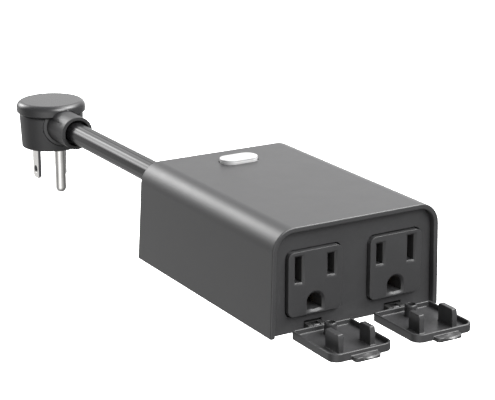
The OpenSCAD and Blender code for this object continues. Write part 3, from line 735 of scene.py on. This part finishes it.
def new_geometry_tree(name, inputs):
    tree = bpy.data.node_groups.new(name, "GeometryNodeTree")
    for label, kind in inputs:
        tree.interface.new_socket(label, in_out="INPUT", socket_type=kind)
    tree.interface.new_socket("Geometry", in_out="OUTPUT", socket_type="NodeSocketGeometry")
    return tree, tree.nodes.new("NodeGroupInput").outputs, tree.nodes.new("NodeGroupOutput").inputs


def run_tree(made, tree, values):
    """Runs a node tree on an object with its named inputs, and keeps the result as a plain mesh."""
    step = made.modifiers.new(tree.name, "NODES")
    step.node_group = tree
    for item in tree.interface.items_tree:
        if item.item_type == "SOCKET" and item.in_out == "INPUT" and item.name in values:
            step[item.identifier] = values[item.name]
    return settle(made)


def give_out(tree, geometry, given, out):
    """Ends a tree: the geometry with its finish on it."""
    done = put(
        tree, "GeometryNodeSetMaterial", {"Geometry": geometry, "Material": given["Finish"]}
    )
    tree.links.new(done.outputs["Geometry"], out["Geometry"])


def tube_tree():
    """Closed tube with shallow lengthwise flutes along the object's own line."""
    tree, given, out = new_geometry_tree(
        "tube along line",
        [
            ("Geometry", "NodeSocketGeometry"), ("Radius", "NodeSocketFloat"),
            ("Sides", "NodeSocketInt"),
            ("Flutes", "NodeSocketFloat"), ("Flute Depth", "NodeSocketFloat"),
            ("Finish", "NodeSocketMaterial"),
        ],
    )
    line = put(tree, "GeometryNodeMeshToCurve", {"Mesh": given["Geometry"]}).outputs["Curve"]
    outline = put(
        tree, "GeometryNodeCurvePrimitiveCircle",
        {"Resolution": given["Sides"], "Radius": given["Radius"]},
    ).outputs["Curve"]
    place = put(tree, "GeometryNodeInputPosition").outputs[0]
    apart = put(tree, "ShaderNodeSeparateXYZ", {0: place}).outputs
    angle = maths(tree, "ARCTAN2", apart["Y"], apart["X"])
    wave = maths(tree, "COSINE", maths(tree, "MULTIPLY", angle, given["Flutes"]))
    inward = maths(tree, "SUBTRACT", wave, 1.0)
    share = maths(tree, "DIVIDE", given["Flute Depth"], given["Radius"])
    depth = maths(tree, "MULTIPLY", inward, share)
    shift = put(
        tree, "ShaderNodeVectorMath", {0: place, "Scale": depth}, operation="SCALE"
    ).outputs["Vector"]
    fluted = put(
        tree, "GeometryNodeSetPosition", {"Geometry": outline, "Offset": shift}
    ).outputs["Geometry"]
    tube = put(
        tree, "GeometryNodeCurveToMesh", {"Curve": line, "Profile Curve": fluted, "Fill Caps": True}
    ).outputs["Mesh"]
    real = put(tree, "GeometryNodeRealizeInstances", {"Geometry": tube}).outputs["Geometry"]
    give_out(tree, real, given, out)
    return tree


def rib_tree():
    """Round ribs along a tapered sleeve, joined to it."""
    tree, given, out = new_geometry_tree(
        "ribs along sleeve",
        [
            ("Geometry", "NodeSocketGeometry"), ("Ribs", "NodeSocketInt"),
            ("Start", "NodeSocketVector"), ("Step", "NodeSocketVector"),
            ("Start Radius", "NodeSocketFloat"), ("End Radius", "NodeSocketFloat"),
            ("Rib Size", "NodeSocketFloat"), ("Finish", "NodeSocketMaterial"),
        ],
    )
    spots = put(
        tree, "GeometryNodeMeshLine",
        {"Count": given["Ribs"], "Start Location": given["Start"], "Offset": given["Step"]},
        mode="OFFSET"
    ).outputs["Mesh"]
    around = put(
        tree, "GeometryNodeCurvePrimitiveCircle", {"Resolution": 64, "Radius": 1.0}
    ).outputs["Curve"]
    share = put(
        tree, "ShaderNodeMath",
        {
            0: put(tree, "GeometryNodeInputIndex").outputs[0],
            1: maths(tree, "SUBTRACT", given["Ribs"], 1.0),
        },
        operation="DIVIDE",
    ).outputs[0]
    radius = put(
        tree, "ShaderNodeMapRange",
        {
            "Value": share, "From Min": 0.0, "From Max": 1.0, "To Min": given["Start Radius"],
            "To Max": given["End Radius"],
        },
    ).outputs["Result"]
    size = maths(tree, "DIVIDE", given["Rib Size"], given["Start Radius"])
    outline = put(
        tree, "GeometryNodeCurvePrimitiveCircle", {"Resolution": 12, "Radius": size}
    ).outputs["Curve"]
    rib = put(
        tree, "GeometryNodeCurveToMesh", {"Curve": around, "Profile Curve": outline}
    ).outputs["Mesh"]
    scale = put(
        tree, "ShaderNodeCombineXYZ", {0: radius, 1: radius, 2: given["Start Radius"]}
    ).outputs[0]
    ribs = put(
        tree, "GeometryNodeInstanceOnPoints",
        {
            "Points": spots, "Instance": rib, "Rotation": Euler((math.pi / 2, 0.0, 0.0)),
            "Scale": scale,
        },
    ).outputs["Instances"]
    real = put(tree, "GeometryNodeRealizeInstances", {"Geometry": ribs}).outputs["Geometry"]
    both = tree.nodes.new("GeometryNodeJoinGeometry")
    tree.links.new(real, both.inputs[0])
    tree.links.new(given["Geometry"], both.inputs[0])
    give_out(tree, both.outputs[0], given, out)
    return tree


def corner_tree():
    """One copy of the object at each corner of a rectangle."""
    tree, given, out = new_geometry_tree(
        "copies at corners",
        [
            ("Geometry", "NodeSocketGeometry"), ("Width", "NodeSocketFloat"),
            ("Depth", "NodeSocketFloat"),
            ("Centre", "NodeSocketVector"), ("Turn", "NodeSocketFloat"),
            ("Finish", "NodeSocketMaterial"),
        ],
    )
    spots = put(
        tree, "GeometryNodeMeshGrid",
        {"Size X": given["Width"], "Size Y": given["Depth"], "Vertices X": 2, "Vertices Y": 2}
    ).outputs["Mesh"]
    index = put(tree, "GeometryNodeInputIndex").outputs[0]
    turn = put(
        tree, "ShaderNodeCombineXYZ", {2: maths(tree, "MULTIPLY", index, given["Turn"])}
    ).outputs[0]
    copies = put(
        tree, "GeometryNodeInstanceOnPoints",
        {"Points": spots, "Instance": given["Geometry"], "Rotation": turn}
    ).outputs["Instances"]
    moved = put(
        tree, "GeometryNodeTransform", {"Geometry": copies, "Translation": given["Centre"]}
    ).outputs["Geometry"]
    real = put(tree, "GeometryNodeRealizeInstances", {"Geometry": moved}).outputs["Geometry"]
    give_out(tree, real, given, out)
    return tree


# ---- Pieces ----


class PLUGBOX_OT_camera(bpy.types.Operator):
    """Adds the camera"""

    bl_idname = "plugbox.camera"
    bl_label = "Camera"

    def execute(self, context):
        data = bpy.data.cameras.new("camera")
        data.sensor_width = CAMERA_SENSOR
        data.lens = CAMERA_LENS
        data.clip_start = CAMERA_NEAR
        made = bpy.data.objects.new("camera", data)
        made.location = CAMERA_PLACE
        made.rotation_euler = CAMERA_TURN
        context.scene.collection.objects.link(made)
        context.scene.camera = made
        return {"FINISHED"}


class PLUGBOX_OT_lead(bpy.types.Operator):
    """Builds the lead between the housing and the plug"""

    bl_idname = "plugbox.lead"
    bl_label = "Lead"

    def execute(self, context):
        low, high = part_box("cord")
        radius = (high.x - low.x) / 2
        mesh = bpy.data.meshes.new("lead")
        mesh.from_pydata(ROUTE, [(i, i + 1) for i in range(len(ROUTE) - 1)], [])
        made = linked("lead", mesh)
        values = {
            "Radius": radius, "Sides": LEAD_SIDES, "Flutes": LEAD_FLUTES,
            "Flute Depth": FLUTE_DEPTH, "Finish": finish_for("cord_jacket"),
        }
        run_tree(made, tube_tree(), values)
        finished(smooth(made), "cord")
        return {"FINISHED"}


class PLUGBOX_OT_shell(bpy.types.Operator):
    """Builds the housing's shell, base plate and front panel"""

    bl_idname = "plugbox.shell"
    bl_label = "Housing"

    def execute(self, context):
        edges = settings().plug_box_edges
        low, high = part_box("outer_shell")

        def front(middle, edge):
            return middle.y < low.y + NEAR_FACE

        def rear(middle, edge):
            beside_boss = middle.z > low.z + NEAR_FACE and abs(middle.x) > BOSS_HALF
            on_top = middle.z > high.z - NEAR_FACE
            return middle.y > high.y - WALL_REACH and (beside_boss or on_top)

        def button_hole(middle, edge):
            on_top = middle.z > high.z - NEAR_FACE and abs(middle.x) < BUTTON_HALF
            return on_top and low.y + BUTTON_TO_FRONT < middle.y < high.y - BUTTON_TO_REAR

        def underside(middle, edge):
            return middle.z < low.z + NEAR_FACE and abs(middle.x) > high.x - WALL_REACH

        rounded_copy(
            "shell_moulding", "outer_shell",
            (UNDERSIDE_EDGE, underside, 3), (edges.rim, front, 4), (edges.shell, rear, 4),
            (HOLE_EDGE, button_hole, 3),
        )
        rounded_copy("base_moulding", "base_plate", (edges.base, None, 2))
        rounded_copy("panel_moulding", "front_panel", (edges.panel, None, 2))
        return {"FINISHED"}


class PLUGBOX_OT_outlets(bpy.types.Operator):
    """Builds the two outlet blocks"""

    bl_idname = "plugbox.outlets"
    bl_label = "Outlets"

    def execute(self, context):
        edges = settings().plug_box_edges
        for side in ("left", "right"):
            node = f"receptacle_{side}"
            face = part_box(node)[0].y

            def outline(middle, edge, face=face):
                level = abs(edge.verts[0].co.y - edge.verts[1].co.y) < LEVEL
                return level and middle.y < face + FACE_REACH

            rounded_copy(f"outlet_block_{side}", node, (edges.outlet, outline, 3))
        return {"FINISHED"}


class PLUGBOX_OT_covers(bpy.types.Operator):
    """Builds the two flip covers with their hinges"""

    bl_idname = "plugbox.covers"
    bl_label = "Covers"

    def execute(self, context):
        edges = settings().plug_box_edges
        for side in ("left", "right"):
            cover = rounded_copy(f"flip_cover_{side}", f"cover_{side}", (edges.cover, None, 3))
            low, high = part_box(f"cover_{side}")
            edge = Vector(((low.x + high.x) / 2 + SCOOP_SHIFT, low.y, low.z + TAB_THICK))
            towards = Vector((0.0, -1.0, 1.0)).normalized()
            bm = bmesh.new()
            place = Matrix.Translation(edge + towards * (SCOOP_RADIUS - SCOOP_DEPTH))
            bmesh.ops.create_icosphere(
                bm, subdivisions=SCOOP_FINENESS, radius=SCOOP_RADIUS, matrix=place
            )
            smooth(cut(cover, mesh_object("scoop", bm)))
            cover.data.materials.append(finish_for("scoop_plastic"))
            for face in cover.data.polygons:
                away = (face.center - place.translation).length
                on_ball = abs(away - SCOOP_RADIUS) < SCOOP_SKIN
                face.material_index = int(on_ball and face.normal.dot(towards) > SCOOP_FACING)
            # The hinge block below each cover gets the near-black hinge finish and a sill block:
            # painted shade filling the dark notch
            low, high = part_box(f"hinge_bracket_{side}")
            middle = Vector(((low.x + high.x) / 2, SHADE_SILL_Y, SHADE_SILL_Z))
            rounded_copy(
                f"hinge_block_{side}", f"hinge_bracket_{side}", (edges.hinge, None, 2),
                look="hinge_plastic", shade_sill=(SHADE_SILL_SIZE, middle),
            )
            rounded_copy(f"hinge_rod_{side}", f"hinge_pin_{side}", (edges.hinge, None, 2))
        return {"FINISHED"}


class PLUGBOX_OT_button(bpy.types.Operator):
    """Builds the two-layer push button"""

    bl_idname = "plugbox.button"
    bl_label = "Button"

    def execute(self, context):
        edges = settings().plug_box_edges
        low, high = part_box("button")
        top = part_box("outer_shell")[1].z
        long, wide = high.x - low.x, high.y - low.y
        shoulder = low.z + FLANGE_HIGH
        seam = top + (high.z - top) * SEAM_SHARE
        rows = [
            (FLANGE_BREAK, low.z), (0.0, low.z + FLANGE_BREAK),
            (0.0, shoulder - FLANGE_STEP), (FLANGE_STEP, shoulder),
            (FLANGE, shoulder), (FLANGE, seam - SEAM_HALF - edges.groove),
            (FLANGE + edges.groove, seam - SEAM_HALF), (FLANGE + edges.groove, seam + SEAM_HALF),
            (FLANGE, seam + SEAM_HALF + edges.groove),
        ]
        rows += [
            (FLANGE + inset, high.z - CROWN - drop)
            for inset, drop in corner_arc(edges.button, BUTTON_EDGE_STEPS)
        ]
        rows += [
            (FLANGE + edges.button + inset, high.z - share * CROWN) for inset, share in CROWN_ROWS
        ]
        centre = (low + high) / 2
        rings = [
            [
                (centre.x + x, centre.y + y, z)
                for x, y in stadium_points(long - 2 * inset, wide - 2 * inset, BUTTON_END_STEPS)
            ]
            for inset, z in rows
        ]
        finished(smooth(mesh_object("push_button", lofted(rings))), "button")
        return {"FINISHED"}


class PLUGBOX_OT_relief(bpy.types.Operator):
    """Builds the ribbed strain relief"""

    bl_idname = "plugbox.relief"
    bl_label = "Strain relief"

    def execute(self, context):
        sizes = settings().plug_box_relief
        made = smooth(mesh_object("strain_relief_sleeve", welded("strain_relief")))
        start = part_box("outer_shell")[1].y + RIB_START
        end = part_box("strain_relief")[1].y - RIB_END
        run_tree(
            made, rib_tree(),
            {
                "Ribs": sizes.ribs, "Start": (0.0, start, ROUTE_Z * MM),
                "Step": (0.0, (end - start) / (sizes.ribs - 1), 0.0),
                "Start Radius": SLEEVE_START, "End Radius": SLEEVE_END,
                "Rib Size": sizes.rib_size, "Finish": finish_for("relief_rubber"),
            },
        )
        finished(smooth(made), "strain_relief")
        return {"FINISHED"}


class PLUGBOX_OT_plug(bpy.types.Operator):
    """Builds the plug's body, cap, carrier and prongs"""

    bl_idname = "plugbox.plug"
    bl_label = "Plug"

    def execute(self, context):
        edges = settings().plug_box_edges

        def outside(middle, edge):
            return middle.xy.length > PLUG_CORE or middle.y < BOSS_LINE

        rounded_copy("plug_body_moulding", "plug_body", (edges.plug, outside, 3))
        rounded_copy("plug_cap_moulding", "plug_cap", (edges.plug, outside, 3))
        rounded_copy("prong_carrier_block", "prong_carrier", (edges.hinge, None, 2))
        for prong, node in (("live_prong", "live_blade"), ("neutral_prong", "neutral_blade")):
            made = rounded_copy(prong, node, (edges.prong, None, 2))
            # The blades' faces along Y get the dark sheared finish: rougher cut edges, with painted
            # shade in their darkness
            made.data.materials.append(finish_for("sheared_and_shaded_metal"))
            for face in made.data.polygons:
                face.material_index = int(abs(face.normal.y) > SHEARED_SHADE_FACING)
        rounded_copy("earth_prong", "earth_pin", (edges.hinge, None, 2))
        return {"FINISHED"}


class PLUGBOX_OT_screws(bpy.types.Operator):
    """Builds the four base screws"""

    bl_idname = "plugbox.screws"
    bl_label = "Base screws"

    def execute(self, context):
        sizes = settings().plug_box_relief
        low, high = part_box("base_screws")
        head = sizes.screw_head
        rows = [(share * head, z * MM) for share, z in HEAD_ROWS]
        rows += [(head, HEAD_HIGH), (SHANK, HEAD_HIGH)]
        turns = int((high.z - low.z - HEAD_HIGH - PLAIN_END) / PITCH)
        for i in range(turns):
            base = HEAD_HIGH + (THREAD_LEAD_IN + i) * PITCH
            rows += [(share * SHANK, base + rise * PITCH) for share, rise in THREAD_ROWS]
        rows.append((TIP_SHARE * SHANK, high.z - low.z))
        rings = [ring_of(circle_points(radius, SCREW_SIDES), z) for radius, z in rows]
        made = mesh_object("base_screw_set", lofted(rings))
        for turn in (0.0, math.pi / 2):
            bm = bmesh.new()
            size = Matrix.Diagonal((*RECESS_SIZE, 1.0))
            bmesh.ops.create_cube(bm, size=1.0, matrix=Matrix.Rotation(turn, 4, "Z") @ size)
            cut(made, mesh_object("driver_recess", bm))
        centre = (low + high) / 2
        run_tree(
            made, corner_tree(),
            {
                "Width": high.x - low.x - 2 * head, "Depth": high.y - low.y - 2 * head,
                "Centre": (centre.x, centre.y, low.z), "Turn": SCREW_TURN,
                "Finish": finish_for("screw_steel"),
            },
        )
        finished(smooth(made), "base_screws")
        return {"FINISHED"}


class PLUGBOX_OT_inside(bpy.types.Operator):
    """Gives every piece that keeps its CAD shape its finish"""

    bl_idname = "plugbox.inside"
    bl_label = "Inner parts"

    def execute(self, context):
        for node in NODES.values():
            if not node.hide_render:
                for place, held in enumerate(node.data.materials):
                    node.data.materials[place] = finish_for(held.name.split(".")[0])
        return {"FINISHED"}


class PLUGBOX_OT_declare(bpy.types.Operator):
    bl_idname = "plugbox.declare"
    bl_label = "Declare the lead"

    def execute(self, context):
        return {"FINISHED"}


class PLUGBOX_OT_stage(bpy.types.Operator):
    """Adds the pale floor, the studio lights and the surroundings"""

    bl_idname = "plugbox.stage"
    bl_label = "Stage"

    def execute(self, context):
        scene = context.scene
        scene.view_settings.view_transform = "Standard"
        bm = bmesh.new()
        level = Matrix.Translation((0.0, 0.0, FLOOR_Z))
        bmesh.ops.create_grid(bm, x_segments=1, y_segments=1, size=FLOOR_SIZE, matrix=level)
        floor = mesh_object("floor", bm)
        made, tree, shader, place = new_material("pale floor")
        tone = mixed(tree, noise(tree, place, FLOOR_NOISE_SCALE, 3.0), *FLOOR_TONES)
        tree.links.new(tone, shader.inputs["Base Color"])
        shader.inputs["Roughness"].default_value = 0.9
        shader.inputs["Emission Color"].default_value = WHITE
        shader.inputs["Emission Strength"].default_value = 1.0
        floor.data.materials.append(made)
        floor.visible_glossy = False
        floor.visible_diffuse = False
        floor.visible_shadow = False

        world = bpy.data.worlds.new("studio")
        scene.world = world
        world.use_nodes = True
        tree = world.node_tree
        tree.nodes.clear()
        way = put(tree, "ShaderNodeTexCoord").outputs["Generated"]
        level = AMBIENT
        for azimuth, elevation, sharpness, strength in LOBES:
            a, e = math.radians(azimuth), math.radians(elevation)
            towards = (math.sin(a) * math.cos(e), math.cos(a) * math.cos(e), math.sin(e))
            facing = put(
                tree, "ShaderNodeVectorMath", {0: way, 1: towards}, operation="DOT_PRODUCT"
            )
            away = maths(tree, "SUBTRACT", facing.outputs["Value"], 1.0)
            fall = maths(tree, "MULTIPLY", away, sharpness)
            glow = maths(tree, "MULTIPLY", maths(tree, "EXPONENT", fall), strength)
            level = maths(tree, "ADD", glow, level)
        seen = put(tree, "ShaderNodeBackground", {"Color": WHITE, "Strength": 1.0}).outputs[0]
        lit = put(tree, "ShaderNodeBackground", {"Color": WHITE, "Strength": level}).outputs[0]
        ray = put(tree, "ShaderNodeLightPath").outputs["Is Camera Ray"]
        both = put(tree, "ShaderNodeMixShader", {0: ray, 1: lit, 2: seen}).outputs[0]
        put(tree, "ShaderNodeOutputWorld", {"Surface": both})
        return {"FINISHED"}


STEPS = (
    PLUGBOX_OT_camera, PLUGBOX_OT_lead, PLUGBOX_OT_shell, PLUGBOX_OT_outlets, PLUGBOX_OT_covers,
    PLUGBOX_OT_button,
    PLUGBOX_OT_relief, PLUGBOX_OT_plug, PLUGBOX_OT_screws, PLUGBOX_OT_inside, PLUGBOX_OT_declare,
    PLUGBOX_OT_stage,
)


class PLUGBOX_PT_sidebar(bpy.types.Panel):
    """Lists the steps and settings of the plug box"""

    bl_idname = "PLUGBOX_PT_sidebar"
    bl_label = "Plug Box"
    bl_space_type = "VIEW_3D"
    bl_region_type = "UI"
    bl_category = "Plug Box"

    def draw(self, context):
        scene = context.scene
        column = self.layout.column(align=True)
        for step in STEPS:
            column.operator(step.bl_idname)
        for group in (scene.plug_box_finish, scene.plug_box_edges, scene.plug_box_relief):
            box = self.layout.box()
            for name in group.bl_rna.properties.keys():
                if name not in {"rna_type", "name"}:
                    box.prop(group, name)


GROUPS = {
    "plug_box_finish": PlugBoxFinish, "plug_box_edges": PlugBoxEdges,
    "plug_box_relief": PlugBoxRelief,
}


def register():
    for kind in (*GROUPS.values(), *STEPS, PLUGBOX_PT_sidebar):
        bpy.utils.register_class(kind)
    for name, kind in GROUPS.items():
        setattr(bpy.types.Scene, name, bpy.props.PointerProperty(type=kind))


def unregister():
    for name in GROUPS:
        delattr(bpy.types.Scene, name)
    for kind in reversed((*GROUPS.values(), *STEPS, PLUGBOX_PT_sidebar)):
        bpy.utils.unregister_class(kind)


def main():
    register()
    for step in STEPS:
        section, name = step.bl_idname.split(".")
        getattr(getattr(bpy.ops, section), name)()


if __name__ == "__main__":
    main()
